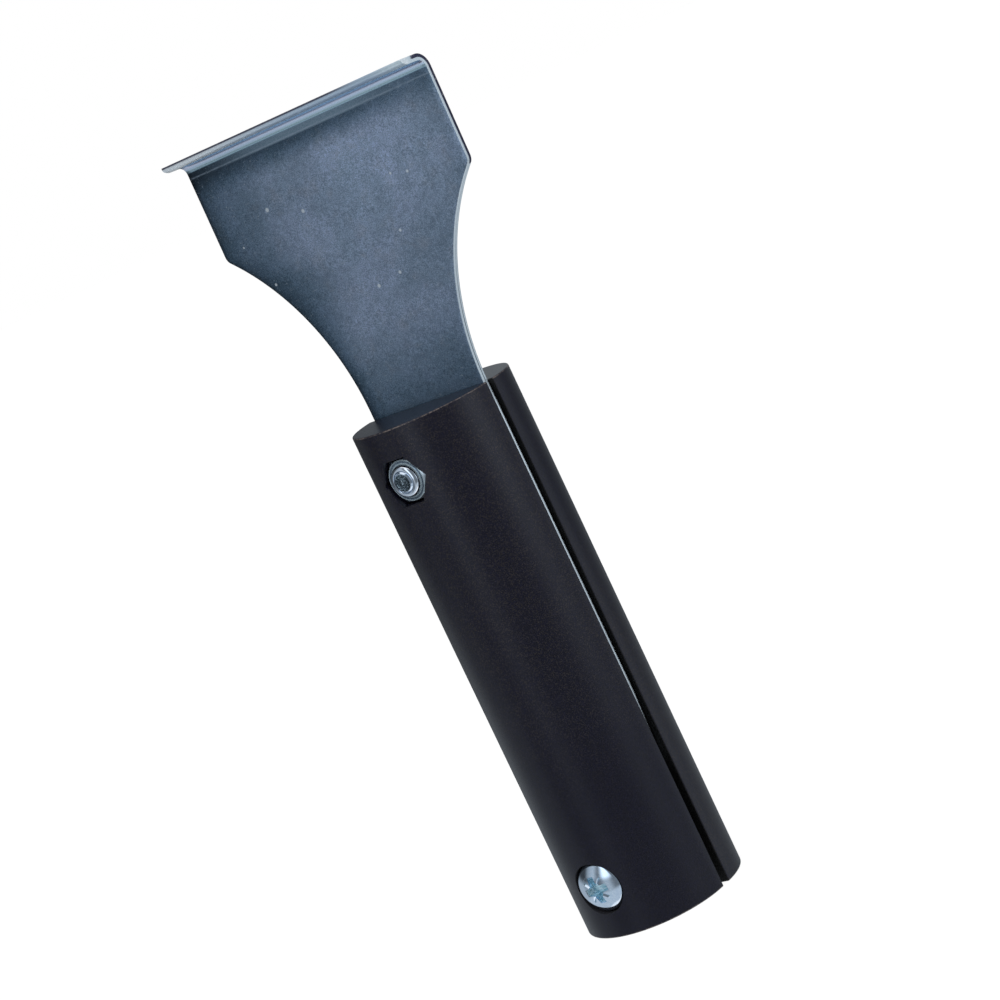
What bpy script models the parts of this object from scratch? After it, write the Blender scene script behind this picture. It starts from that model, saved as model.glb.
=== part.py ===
"""Deglazing tool: a sheet-steel blade clamped between the two halves of a round handle.

Run with blender --background --python part.py, or from Blender's text editor. The tool stands on the butt
of its handle: +Z runs up the handle to the blade, +X along the blade's width, and the lip points to -Y.
Everything is in metres. The origin is the middle of the butt.
"""

import math

import bmesh
import bpy
from mathutils import Matrix, Vector

MM = 0.001

# Handle: two equal mouldings, each half of a round bar.
HANDLE_LENGTH = 102.4 * MM
GRIP_RADIUS = 15 * MM
GRIP_EDGE_ROUND = 0.4 * MM

# Blade: one sheet with a tang, two concave necks, a straight-sided head and a lip bent forward.
SHEET = 1.25 * MM
SHEET_CLEARANCE = 0.3 * MM
BLADE_WIDTH = 62.8 * MM
TANG_WIDTH = 28 * MM
NECK_RADIUS = 47 * MM
NECK_RISE = 0.6 * MM
HEAD_HEIGHT = 17.6 * MM
BLADE_LEAN = math.radians(1.75)
SHOULDER_ROUND = 0.8 * MM

# Lip along the blade's top edge.
BEND_RADIUS = 1.6 * MM
LIP_REACH = 4.2 * MM
LIP_RISE = math.radians(3)
LIP_BEVEL = 1.9 * MM
LIP_EDGE = 0.12 * MM

# The tang's lower end narrows to a tail that the lower screw passes through.
TAIL_WIDTH = 14 * MM
TAIL_LENGTH = 16 * MM
TAPER_RISE = 6 * MM
TAIL_END_MARGIN = 3 * MM
TAIL_CORNER_ROUND = 3 * MM

# Screws: M5 with a pan head and a cross recess.
SCREW_DIAMETER = 5 * MM
THREAD_DEPTH = 0.45 * MM
SCREW_HOLE_CLEARANCE = 0.3 * MM
TIP_CHAMFER = 0.35 * MM
TIP_STANDOUT = 0.15 * MM
HEAD_DIAMETER = 9.2 * MM
SCREW_HEAD_HEIGHT = 3.7 * MM
CROWN_RADIUS = 8.5 * MM
HEAD_CORNER_ROUND = 0.4 * MM
RECESS_RADIUS = 2.8 * MM
RECESS_SLOT = 1.25 * MM
RECESS_DEPTH = 2 * MM
RECESS_FLOOR_SHARE = 0.45
RECESS_TURN = math.radians(8)

# Lock nuts: a hexagon with a round collar that holds a nylon ring.
NUT_ACROSS_FLATS = 7.9 * MM
NUT_HEX_HEIGHT = 3.9 * MM
COLLAR_HEIGHT = 1.1 * MM
COLLAR_ROUND = 0.7 * MM
COLLAR_WALL = 0.3 * MM
COLLAR_CRIMP = 0.3 * MM
NUT_CHAMFER = 0.4 * MM
THREAD_CLEARANCE = 0.3 * MM
NYLON_WALL = 0.3 * MM
NYLON_HEIGHT = 1.2 * MM
NYLON_CLEARANCE = 0.2 * MM

# Seats in the mouldings, measured in from their round outside.
COUNTERBORE_DEPTH = 3.4 * MM
COUNTERBORE_CLEARANCE = 0.6 * MM
POCKET_DEPTH = 5.4 * MM
POCKET_CLEARANCE = 0.2 * MM
SEAT_END_MARGIN = 4.7 * MM
SEAT_GAP = 0.3 * MM

# How far a cutter runs past what it cuts, and how finely round shapes are cut.
OVERRUN = 2 * MM
MERGE = 0.01 * MM
GRIP_STEPS = 112
TURNED_STEPS = 36
ARC_STEPS = 18
BEND_STEPS = 10

SLOT_HALF = SHEET / 2 + SHEET_CLEARANCE
GRIP_FACE = SLOT_HALF + GRIP_RADIUS
COUNTERBORE_RADIUS = HEAD_DIAMETER / 2 + COUNTERBORE_CLEARANCE
SCREW_FROM_END = SEAT_END_MARGIN + COUNTERBORE_RADIUS
LOWER_SCREW_Z = SCREW_FROM_END
UPPER_SCREW_Z = HANDLE_LENGTH - SCREW_FROM_END
SCREW_HOLE_RADIUS = SCREW_DIAMETER / 2 + SCREW_HOLE_CLEARANCE
HEAD_SEAT = GRIP_FACE - COUNTERBORE_DEPTH + SEAT_GAP
NUT_SEAT = GRIP_FACE - POCKET_DEPTH + SEAT_GAP
NUT_HEIGHT = NUT_HEX_HEIGHT + COLLAR_HEIGHT
SCREW_LENGTH = HEAD_SEAT + NUT_SEAT + NUT_HEIGHT + TIP_STANDOUT
CORE_RADIUS = SCREW_DIAMETER / 2 - THREAD_DEPTH
NUT_BORE_RADIUS = CORE_RADIUS + THREAD_CLEARANCE
NYLON_RADIUS = NUT_BORE_RADIUS + NYLON_WALL
GROOVE_RADIUS = NYLON_RADIUS + NYLON_CLEARANCE
COLLAR_RADIUS = GROOVE_RADIUS + COLLAR_WALL

STEEL = ("zinc_plated_sheet", (0.20, 0.25, 0.33), 0.35, 1.0)
BLACK = ("black_moulding", (0.012, 0.012, 0.016), 0.5, 0.0)
ZINC = ("bright_zinc", (0.62, 0.66, 0.72), 0.25, 1.0)
NYLON = ("white_nylon", (0.8, 0.8, 0.78), 0.5, 0.0)


def clear_scene():
    for obj in list(bpy.data.objects):
        bpy.data.objects.remove(obj, do_unlink=True)


def new_collection(name):
    collection = bpy.data.collections.new(name)
    bpy.context.scene.collection.children.link(collection)
    return collection


def principled(name, color, roughness, metallic):
    """A Principled material with a plain colour."""
    material = bpy.data.materials.get(name) or bpy.data.materials.new(name)
    material.use_nodes = True
    shader = material.node_tree.nodes["Principled BSDF"]
    shader.inputs["Base Color"].default_value = (*color, 1.0)
    shader.inputs["Roughness"].default_value = roughness
    shader.inputs["Metallic"].default_value = metallic
    return material


def mesh_object(name, mesh, collection):
    obj = bpy.data.objects.new(name, mesh)
    collection.objects.link(obj)
    return obj


def cutter(obj):
    """Marks an object that only cuts others."""
    obj.hide_render = True
    obj.display_type = "WIRE"
    return obj


def outline_plate(name, points, thickness, collection):
    """A flat plate in the XY plane from a closed outline, centred on z = 0, as a mesh."""
    curve = bpy.data.curves.new(name, "CURVE")
    curve.dimensions = "2D"
    curve.fill_mode = "BOTH"
    curve.extrude = thickness / 2
    spline = curve.splines.new("POLY")
    spline.points.add(len(points) - 1)
    for point, (x, y) in zip(spline.points, points):
        point.co = (x, y, 0, 1)
    spline.use_cyclic_u = True
    return curve_to_mesh(mesh_object(name, curve, collection), collection)


def curve_to_mesh(obj, collection):
    """Replaces a curve object by a mesh object with its caps welded."""
    bpy.context.view_layer.update()
    evaluated = obj.evaluated_get(bpy.context.evaluated_depsgraph_get())
    mesh = bpy.data.meshes.new_from_object(evaluated)
    name = obj.name
    matrix = obj.matrix_world.copy()
    bpy.data.objects.remove(obj, do_unlink=True)
    shape = bmesh.new()
    shape.from_mesh(mesh)
    bmesh.ops.remove_doubles(shape, verts=shape.verts, dist=MERGE)
    bmesh.ops.recalc_face_normals(shape, faces=shape.faces)
    shape.to_mesh(mesh)
    shape.free()
    made = mesh_object(name, mesh, collection)
    made.matrix_world = matrix
    return made


def turned(name, profile, closed, collection, steps=TURNED_STEPS):
    """A profile of (radius, height) points turned about Z. It runs down the outer side."""
    mesh = bpy.data.meshes.new(name)
    count = len(profile)
    edges = [(i, i + 1) for i in range(count - 1)]
    if closed:
        edges.append((count - 1, 0))
    mesh.from_pydata([(radius, 0, height) for radius, height in profile], edges, [])
    obj = mesh_object(name, mesh, collection)
    screw = obj.modifiers.new("Turn", "SCREW")
    screw.axis = "Z"
    screw.steps = steps
    screw.render_steps = steps
    screw.use_merge_vertices = True
    screw.merge_threshold = MERGE
    return obj


def prism(name, radius, depth, sides, collection):
    """An upright prism or cylinder about Z, standing on z = 0."""
    mesh = bpy.data.meshes.new(name)
    shape = bmesh.new()
    bmesh.ops.create_cone(
        shape, cap_ends=True, segments=sides, radius1=radius, radius2=radius, depth=depth
    )
    bmesh.ops.translate(shape, verts=shape.verts, vec=(0, 0, depth / 2))
    shape.to_mesh(mesh)
    shape.free()
    return mesh_object(name, mesh, collection)


def boolean(obj, other, operation):
    modifier = obj.modifiers.new(other.name, "BOOLEAN")
    modifier.operation = operation
    modifier.solver = "EXACT"
    modifier.object = other
    return modifier


def frozen(obj, sharp_angle=math.radians(30)):
    """Applies an object's modifiers, so that its mesh can be shared, and shades it smooth."""
    bpy.context.view_layer.update()
    evaluated = obj.evaluated_get(bpy.context.evaluated_depsgraph_get())
    mesh = bpy.data.meshes.new_from_object(evaluated)
    mesh.name = obj.name
    obj.modifiers.clear()
    obj.data = mesh
    mesh.shade_smooth()
    mesh.set_sharp_from_angle(angle=sharp_angle)
    return obj


def arc(center, radius, start, end, steps):
    """Points along an arc, both ends included, with the angles in radians."""
    points = []
    for i in range(steps + 1):
        angle = start + (end - start) * i / steps
        points.append((center[0] + radius * math.cos(angle), center[1] + radius * math.sin(angle)))
    return points


def neck_sweep():
    """The angle that each neck's arc turns through before it meets the head's straight side."""
    widening = (BLADE_WIDTH - TANG_WIDTH) / 2
    return math.acos(max(1 - widening / NECK_RADIUS, 0))


def shoulder_height():
    return HANDLE_LENGTH + NECK_RISE + NECK_RADIUS * math.sin(neck_sweep())


def bend_height():
    """Where the sheet leaves the flat and the lip's bend begins."""
    return shoulder_height() + HEAD_HEIGHT


def half_outline():
    """The blade's right half in the XZ plane, from the tail's end up to above the lip."""
    tail = TAIL_WIDTH / 2
    corner = TAIL_CORNER_ROUND
    full_width_from = LOWER_SCREW_Z + TAIL_LENGTH
    points = arc((tail - corner, TAIL_END_MARGIN + corner), corner, -math.pi / 2, 0, ARC_STEPS // 2)
    points.append((tail, full_width_from - TAPER_RISE))
    points.append((TANG_WIDTH / 2, full_width_from))
    center = (TANG_WIDTH / 2 + NECK_RADIUS, HANDLE_LENGTH + NECK_RISE)
    necks = arc(center, NECK_RADIUS, math.pi, math.pi - neck_sweep(), ARC_STEPS)
    points += rounded_shoulder(necks, (BLADE_WIDTH / 2, shoulder_height()))
    points.append((BLADE_WIDTH / 2, bend_height() + BEND_RADIUS + SHEET + LIP_REACH + OVERRUN))
    return points


def eased_corner(start, corner, end):
    """Points of a smooth curve from start to end that stands in for the corner between them."""
    steps = ARC_STEPS // 3
    points = []
    for i in range(steps + 1):
        share = i / steps
        near = Vector(start).lerp(Vector(corner), share)
        far = Vector(corner).lerp(Vector(end), share)
        points.append(tuple(near.lerp(far, share)))
    return points


def rounded_shoulder(neck, corner):
    """The neck's points with the corner where it meets the straight side taken off in a small round."""
    along = Vector(neck[-1]) - Vector(neck[-2])
    before = Vector(corner) - along.normalized() * min(SHOULDER_ROUND, along.length / 2)
    after = Vector(corner) + Vector((0, SHOULDER_ROUND))
    return neck[:-1] + eased_corner(before, corner, after)


def side_section():
    """The sheet seen edge on, as (y, z) points: up the front face, round the lip and down the rear."""
    front = -SHEET / 2
    mouth = HANDLE_LENGTH
    flat = Vector((math.sin(BLADE_LEAN), math.cos(BLADE_LEAN)))
    forward = Vector((-math.cos(LIP_RISE), math.sin(LIP_RISE)))
    back = Vector((flat.y, -flat.x))
    root = Vector((front, mouth)) + flat * ((bend_height() - mouth) / flat.y)
    center = root - back * BEND_RADIUS
    start = math.atan2(back.y, back.x)
    end = math.atan2(forward.x * -1, forward.y)
    inner = arc(center, BEND_RADIUS, start, end, BEND_STEPS)
    outer = arc(center, BEND_RADIUS + SHEET, end, start, BEND_STEPS)
    up = Vector((math.cos(end), math.sin(end)))
    tip_top = Vector(outer[0]) + forward * LIP_REACH
    tip_low = tip_top - up * LIP_EDGE
    bevel_start = Vector(inner[-1]) + forward * (LIP_REACH - LIP_BEVEL)
    points = [(front, 0), (front, mouth)]
    points += inner
    points += [tuple(bevel_start), tuple(tip_low), tuple(tip_top)]
    points += outer
    points += [(front + SHEET, mouth), (front + SHEET, 0)]
    return points


def make_blade(parts, cutters):
    """The side section stretched across the width, trimmed to the outline and drilled."""
    half = half_outline()
    outline = half + [(-x, z) for x, z in reversed(half)]
    depth = 2 * (GRIP_FACE + LIP_REACH + OVERRUN)
    blank = cutter(outline_plate("blade_outline", outline, depth, cutters))
    blank.rotation_euler = (math.pi / 2, 0, 0)

    blade = outline_plate("blade", side_section(), BLADE_WIDTH + 2 * OVERRUN, parts)
    turn = Matrix(((0, 0, 1), (1, 0, 0), (0, 1, 0))).to_4x4()
    blade.data.transform(turn)
    boolean(blade, blank, "INTERSECT")
    for name, height in (("lower_blade_hole", LOWER_SCREW_Z), ("upper_blade_hole", UPPER_SCREW_Z)):
        hole = cutter(prism(name, SCREW_HOLE_RADIUS, SHEET + 2 * OVERRUN, TURNED_STEPS, cutters))
        hole.rotation_euler = (math.pi / 2, 0, 0)
        hole.location = (0, SHEET / 2 + OVERRUN, height)
        boolean(blade, hole, "DIFFERENCE")
    return frozen(blade)


def make_grip(name, parts, cutters):
    """One moulding, round side to -Y, with its nut pocket near the top and its counterbore below."""
    mesh = bpy.data.meshes.new(name)
    shape = bmesh.new()
    bmesh.ops.create_cone(
        shape,
        cap_ends=True,
        segments=GRIP_STEPS,
        radius1=GRIP_RADIUS,
        radius2=GRIP_RADIUS,
        depth=HANDLE_LENGTH,
    )
    bmesh.ops.translate(shape, verts=shape.verts, vec=(0, -SLOT_HALF, HANDLE_LENGTH / 2))
    everything = shape.verts[:] + shape.edges[:] + shape.faces[:]
    cut = bmesh.ops.bisect_plane(
        shape,
        geom=everything,
        dist=MERGE,
        plane_co=(0, -SLOT_HALF, 0),
        plane_no=(0, 1, 0),
        clear_outer=True,
    )
    rim = [item for item in cut["geom_cut"] if isinstance(item, bmesh.types.BMEdge)]
    bmesh.ops.holes_fill(shape, edges=rim, sides=0)
    bmesh.ops.recalc_face_normals(shape, faces=shape.faces)
    shape.to_mesh(mesh)
    shape.free()
    grip = mesh_object(name, mesh, parts)

    rounding = grip.modifiers.new("Edges", "BEVEL")
    rounding.width = GRIP_EDGE_ROUND
    rounding.segments = 2
    rounding.limit_method = "ANGLE"
    rounding.angle_limit = math.radians(30)

    pocket_corner = (NUT_ACROSS_FLATS / 2 + POCKET_CLEARANCE) / math.cos(math.pi / 6)
    tools = (
        ("nut_pocket", pocket_corner, 6, UPPER_SCREW_Z, POCKET_DEPTH),
        ("head_counterbore", COUNTERBORE_RADIUS, 2 * TURNED_STEPS, LOWER_SCREW_Z, COUNTERBORE_DEPTH),
        ("upper_hole", SCREW_HOLE_RADIUS, TURNED_STEPS, UPPER_SCREW_Z, GRIP_FACE),
        ("lower_hole", SCREW_HOLE_RADIUS, TURNED_STEPS, LOWER_SCREW_Z, GRIP_FACE),
    )
    for label, radius, sides, height, depth in tools:
        tool = cutter(prism(f"{name}_{label}", radius, depth + OVERRUN, sides, cutters))
        # The prism's corners are turned to point sideways.
        tool.rotation_euler = (math.pi / 2, math.pi / 6 if sides == 6 else 0, 0)
        tool.location = (0, -(GRIP_FACE - depth), height)
        boolean(grip, tool, "DIFFERENCE")
    return frozen(grip)


def pan_head_profile():
    """The head from its domed crown down its straight side to the bearing face at height 0."""
    radius = HEAD_DIAMETER / 2
    crown = max(CROWN_RADIUS, radius)
    turn = math.asin((radius - HEAD_CORNER_ROUND) / crown)
    center = (0, SCREW_HEAD_HEIGHT - crown)
    points = arc(center, crown, math.pi / 2, math.pi / 2 - turn, ARC_STEPS // 2)
    points[0] = (0, SCREW_HEAD_HEIGHT)
    corner = (radius, points[-1][1] - HEAD_CORNER_ROUND * math.tan(turn))
    side_top = (radius, corner[1] - min(HEAD_CORNER_ROUND, corner[1] / 2))
    points += eased_corner(points[-1], corner, side_top)[1:]
    points.append((radius, 0))
    return points


def make_screw(name, parts, cutters):
    """Head up on +Z with its bearing face at z = 0. The thread is plain, at its core inside the nut."""
    shank = SCREW_DIAMETER / 2
    core_from = -(HEAD_SEAT + NUT_SEAT - SEAT_GAP)
    profile = pan_head_profile()
    profile += [
        (shank, 0),
        (shank, core_from + THREAD_DEPTH),
        (CORE_RADIUS, core_from),
        (CORE_RADIUS, -(SCREW_LENGTH - TIP_CHAMFER)),
        (CORE_RADIUS - TIP_CHAMFER, -SCREW_LENGTH),
        (0, -SCREW_LENGTH),
    ]
    screw = turned(name, profile, False, parts)
    for i in range(2):
        wing = cutter(recess_wing(f"{name}_recess_{i + 1}", cutters))
        wing.rotation_euler = (0, 0, RECESS_TURN + i * math.pi / 2)
        wing.location = (0, 0, SCREW_HEAD_HEIGHT - RECESS_DEPTH)
        boolean(screw, wing, "DIFFERENCE")
    return frozen(screw)


def recess_wing(name, cutters):
    """One bar of the cross recess, standing on z = 0, narrower and shorter at its floor."""
    mesh = bpy.data.meshes.new(name)
    shape = bmesh.new()
    bmesh.ops.create_cube(shape, size=1)
    height = RECESS_DEPTH + OVERRUN
    top_share = RECESS_FLOOR_SHARE + (1 - RECESS_FLOOR_SHARE) * height / RECESS_DEPTH
    for vert in shape.verts:
        at_top = vert.co.z > 0
        vert.co.x *= 2 * RECESS_RADIUS * (top_share if at_top else RECESS_FLOOR_SHARE)
        vert.co.y *= RECESS_SLOT * (1 if at_top else math.sqrt(RECESS_FLOOR_SHARE))
        vert.co.z = height if at_top else 0
    shape.to_mesh(mesh)
    shape.free()
    return mesh_object(name, mesh, cutters)


def make_nut(name, parts, cutters):
    """Seat at z = 0 and collar up on +Z: a turned blank cut to a hexagon."""
    flat = NUT_ACROSS_FLATS / 2
    corner = flat / math.cos(math.pi / 6)
    face = flat - NUT_CHAMFER / 4
    rise = NUT_CHAMFER
    groove_top = NUT_HEIGHT - COLLAR_CRIMP
    groove_bottom = groove_top - NYLON_HEIGHT - 2 * NYLON_CLEARANCE
    rounding = min(COLLAR_ROUND, COLLAR_HEIGHT, COLLAR_RADIUS - NUT_BORE_RADIUS)
    crown = arc(
        (COLLAR_RADIUS - rounding, NUT_HEIGHT - rounding), rounding, math.pi / 2, 0, ARC_STEPS // 3
    )
    profile = [(NUT_BORE_RADIUS, NUT_HEIGHT)] if rounding < COLLAR_RADIUS - NUT_BORE_RADIUS else []
    profile += crown
    profile += [
        (COLLAR_RADIUS, NUT_HEX_HEIGHT),
        (face, NUT_HEX_HEIGHT),
        (corner + MERGE, NUT_HEX_HEIGHT - rise),
        (corner + MERGE, rise),
        (face, 0),
        (NUT_BORE_RADIUS, 0),
        (NUT_BORE_RADIUS, groove_bottom),
        (GROOVE_RADIUS, groove_bottom),
        (GROOVE_RADIUS, groove_top),
        (NUT_BORE_RADIUS, groove_top),
    ]
    nut = turned(name, profile, True, parts)
    hexagon = cutter(prism(f"{name}_hexagon", corner, NUT_HEIGHT + 2 * OVERRUN, 6, cutters))
    hexagon.location = (0, 0, -OVERRUN)
    hexagon.rotation_euler = (0, 0, math.pi / 6)
    boolean(nut, hexagon, "INTERSECT")
    return frozen(nut)


def make_nut_insert(name, parts):
    """The nylon ring, in the nut's own frame."""
    top = NUT_HEIGHT - COLLAR_CRIMP - NYLON_CLEARANCE
    bottom = top - NYLON_HEIGHT
    profile = [
        (NUT_BORE_RADIUS, top),
        (NYLON_RADIUS, top),
        (NYLON_RADIUS, bottom),
        (NUT_BORE_RADIUS, bottom),
    ]
    return frozen(turned(name, profile, True, parts))


def copy_of(obj, name, parts):
    """A second object on the same mesh."""
    return mesh_object(name, obj.data, parts)


def build():
    clear_scene()
    parts = new_collection("deglazing_tool")
    cutters = new_collection("cutters")
    butt = bpy.data.objects.new("butt", None)
    parts.objects.link(butt)

    blade = make_blade(parts, cutters)
    front_grip = make_grip("front_grip", parts, cutters)
    rear_grip = copy_of(front_grip, "rear_grip", parts)
    lower_screw = make_screw("lower_screw", parts, cutters)
    upper_screw = copy_of(lower_screw, "upper_screw", parts)
    upper_nut = make_nut("upper_nut", parts, cutters)
    lower_nut = copy_of(upper_nut, "lower_nut", parts)
    upper_insert = make_nut_insert("upper_nut_insert", parts)
    lower_insert = copy_of(upper_insert, "lower_nut_insert", parts)

    # Fasteners are modelled along +Z. A quarter turn about X points them to the front or the rear.
    to_front = (math.pi / 2, 0, 0)
    to_rear = (-math.pi / 2, 0, 0)
    places = (
        (blade, (0, 0, 0), (0, 0, 0), STEEL),
        (front_grip, (0, 0, 0), (0, 0, 0), BLACK),
        (rear_grip, (0, 0, HANDLE_LENGTH), (math.pi, 0, 0), BLACK),
        (lower_screw, (0, -HEAD_SEAT, LOWER_SCREW_Z), to_front, ZINC),
        (upper_screw, (0, HEAD_SEAT, UPPER_SCREW_Z), to_rear, ZINC),
        (upper_nut, (0, -NUT_SEAT, UPPER_SCREW_Z), to_front, ZINC),
        (lower_nut, (0, NUT_SEAT, LOWER_SCREW_Z), to_rear, ZINC),
        (upper_insert, (0, -NUT_SEAT, UPPER_SCREW_Z), to_front, NYLON),
        (lower_insert, (0, NUT_SEAT, LOWER_SCREW_Z), to_rear, NYLON),
    )
    for obj, location, rotation, finish in places:
        obj.location = location
        obj.rotation_euler = rotation
        obj.parent = butt
        if not obj.data.materials:
            obj.data.materials.append(principled(*finish))
        elif obj.data.materials[0] is None:
            obj.data.materials[0] = principled(*finish)
    bpy.context.view_layer.update()


build()
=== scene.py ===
"""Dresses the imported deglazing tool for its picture: camera, light, floor, finer pieces and materials."""

import math

import bmesh
import bpy
from mathutils import Matrix, Vector


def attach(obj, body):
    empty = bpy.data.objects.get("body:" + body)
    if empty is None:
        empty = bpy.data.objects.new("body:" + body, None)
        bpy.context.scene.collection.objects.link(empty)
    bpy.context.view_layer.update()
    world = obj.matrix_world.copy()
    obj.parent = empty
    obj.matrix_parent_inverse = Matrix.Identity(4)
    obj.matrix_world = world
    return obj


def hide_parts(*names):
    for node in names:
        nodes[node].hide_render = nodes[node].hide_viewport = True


MM = 0.001

# Sizes that the visual pieces share with the CAD model, in millimetres, and its angles.
HANDLE = 102.4
RADIUS = 15.0
SHEET = 1.25
SLOT = 0.925
WIDTH = 62.8
TANG = 28.0
TAIL = 14.0
TAIL_FROM = 3.0
TAIL_CORNER = 3.0
NECK_RADIUS = 47.0
NECK_RISE = 0.6
HEAD_HEIGHT = 17.6
LEAN = math.radians(1.75)
BEND = 1.6
LIP_REACH = 4.2
LIP_RISE = math.radians(3)
LIP_BEVEL = 1.9
LIP_EDGE = 0.12
LOWER_Z = 9.9
UPPER_Z = HANDLE - 9.9
SCREW_HOLE = 2.8
SEAT_GAP = 0.3
POCKET_DEPTH = 5.4
BORE_DEPTH = 3.4
HEAD_SEAT = 12.825
NUT_SEAT = 10.825
HEAD_HIGH = 3.7
HEAD_CORNER = 0.4
CROWN = 8.5
THREAD = 2.5
THREAD_DEPTH = 0.45
CORE = 2.05
SCREW_LENGTH = HEAD_SEAT + NUT_SEAT + 5.15
NUT_FLAT = 3.95
NUT_BORE = 2.35

# Sizes of the scene alone: the rounding of the grip's edges, how far the tang's edge leans per millimetre of
# depth, the counterbore's radius, half the nut pocket across its flats, and the radius of the screws' heads.
EDGE = 0.25
SHEAR = 0.3
BORE = 5.1
POCKET = NUT_FLAT + 0.42
HEAD_RADIUS = 4.85

# How finely round shapes are turned and screw holes are cut.
TURNED_STEPS = 96
HOLE_STEPS = 48

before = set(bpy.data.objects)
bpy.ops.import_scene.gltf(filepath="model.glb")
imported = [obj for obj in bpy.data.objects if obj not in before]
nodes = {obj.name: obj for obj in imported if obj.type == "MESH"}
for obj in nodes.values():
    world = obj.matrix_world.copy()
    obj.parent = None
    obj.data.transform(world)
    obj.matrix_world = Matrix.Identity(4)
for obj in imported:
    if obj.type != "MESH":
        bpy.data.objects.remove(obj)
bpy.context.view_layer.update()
scene = bpy.context.scene


def smooth(low, high, value):
    """Smoothstep from 0 at low to 1 at high."""
    t = min(max((value - low) / (high - low), 0.0), 1.0)
    return t * t * (3 - 2 * t)


def grey(level):
    return (level, level, level)


def make_camera():
    """The camera, fitted to the photograph."""
    data = bpy.data.cameras.new("camera")
    camera = bpy.data.objects.new("camera", data)
    scene.collection.objects.link(camera)
    right = Vector((0.71968, 0.55082, -0.42269))
    up = Vector((0.22863, 0.38682, 0.89336))
    back = right.cross(up)
    turn = Matrix((right, up, back)).transposed().to_4x4()
    camera.matrix_world = Matrix.Translation((0.378344, -0.421109, 0.167644)) @ turn
    data.sensor_fit = "HORIZONTAL"
    data.sensor_width = 36.0
    data.lens = 113.369
    data.shift_x = -0.0005
    data.shift_y = 0.0005
    data.clip_start = 0.01
    data.clip_end = 20.0
    scene.camera = camera


class Shader:
    """A small helper that adds and joins shader nodes."""

    def __init__(self, name):
        self.material = bpy.data.materials.new(name)
        self.material.use_nodes = True
        self.tree = self.material.node_tree
        self.bsdf = self.tree.nodes["Principled BSDF"]
        self.place = self.add("ShaderNodeTexCoord").outputs["Object"]

    def add(self, kind, **settings):
        node = self.tree.nodes.new(kind)
        for key, value in settings.items():
            setattr(node, key, value)
        return node

    def put(self, socket, value):
        if isinstance(value, bpy.types.NodeSocket):
            self.tree.links.new(value, socket)
        else:
            socket.default_value = value

    def math(self, operation, *values):
        node = self.add("ShaderNodeMath", operation=operation)
        for socket, value in zip(node.inputs, values):
            self.put(socket, value)
        return node.outputs[0]

    def times(self, product, *others):
        for other in others:
            product = self.math("MULTIPLY", product, other)
        return product

    def length(self, a, b):
        """The length of the vector (a, b)."""
        return self.math("SQRT", self.math("ADD", self.times(a, a), self.times(b, b)))

    def xyz(self):
        """The object's own coordinates, in metres."""
        split = self.add("ShaderNodeSeparateXYZ")
        self.put(split.inputs[0], self.place)
        return tuple(split.outputs)

    def scaled(self, scale):
        node = self.add("ShaderNodeMapping")
        self.put(node.inputs["Vector"], self.place)
        node.inputs["Scale"].default_value = scale
        return node.outputs[0]

    def noise(self, size, detail, roughness, stretch=None, seed=0.0):
        """Noise whose lumps are about size millimetres across."""
        node = self.add("ShaderNodeTexNoise", noise_dimensions="4D")
        self.put(node.inputs["Vector"], self.scaled(stretch) if stretch else self.place)
        node.inputs["W"].default_value = seed
        node.inputs["Scale"].default_value = 1.0 / (size * MM)
        node.inputs["Detail"].default_value = detail
        node.inputs["Roughness"].default_value = roughness
        return node.outputs["Fac"]

    def ramp(self, value, stops):
        """An eased ramp through (position, color) stops."""
        node = self.add("ShaderNodeValToRGB")
        self.put(node.inputs["Fac"], value)
        node.color_ramp.interpolation = "EASE"
        elements = node.color_ramp.elements
        while len(elements) < len(stops):
            elements.new(0.5)
        for element, (position, color) in zip(elements, stops):
            element.position = position
            element.color = (*color, 1.0)
        return node.outputs["Color"]

    def mix(self, factor, a, b, blend="MIX"):
        node = self.add("ShaderNodeMix", data_type="RGBA", blend_type=blend)
        self.put(node.inputs["Factor"], factor)
        self.put(node.inputs[6], (*a, 1.0) if isinstance(a, tuple) else a)
        self.put(node.inputs[7], (*b, 1.0) if isinstance(b, tuple) else b)
        return node.outputs[2]

    def span(self, value, low, high, to_low=0.0, to_high=1.0):
        """Smoothstep of a value, from to_low at low to to_high at high."""
        node = self.add("ShaderNodeMapRange", interpolation_type="SMOOTHSTEP")
        self.put(node.inputs["Value"], value)
        node.inputs["From Min"].default_value = low
        node.inputs["From Max"].default_value = high
        node.inputs["To Min"].default_value = to_low
        node.inputs["To Max"].default_value = to_high
        return node.outputs[0]

    def attribute(self, name):
        node = self.add("ShaderNodeAttribute", attribute_name=name)
        return node.outputs["Fac"]

    def bump(self, height, strength, distance):
        node = self.add("ShaderNodeBump")
        node.inputs["Strength"].default_value = strength
        node.inputs["Distance"].default_value = distance * MM
        self.put(node.inputs["Height"], height)
        self.put(self.bsdf.inputs["Normal"], node.outputs[0])

    def set(self, **values):
        """Sets inputs of the main shader and gives back the finished material."""
        for key, value in values.items():
            self.put(self.bsdf.inputs[key.replace("_", " ")], value)
        return self.material


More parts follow.
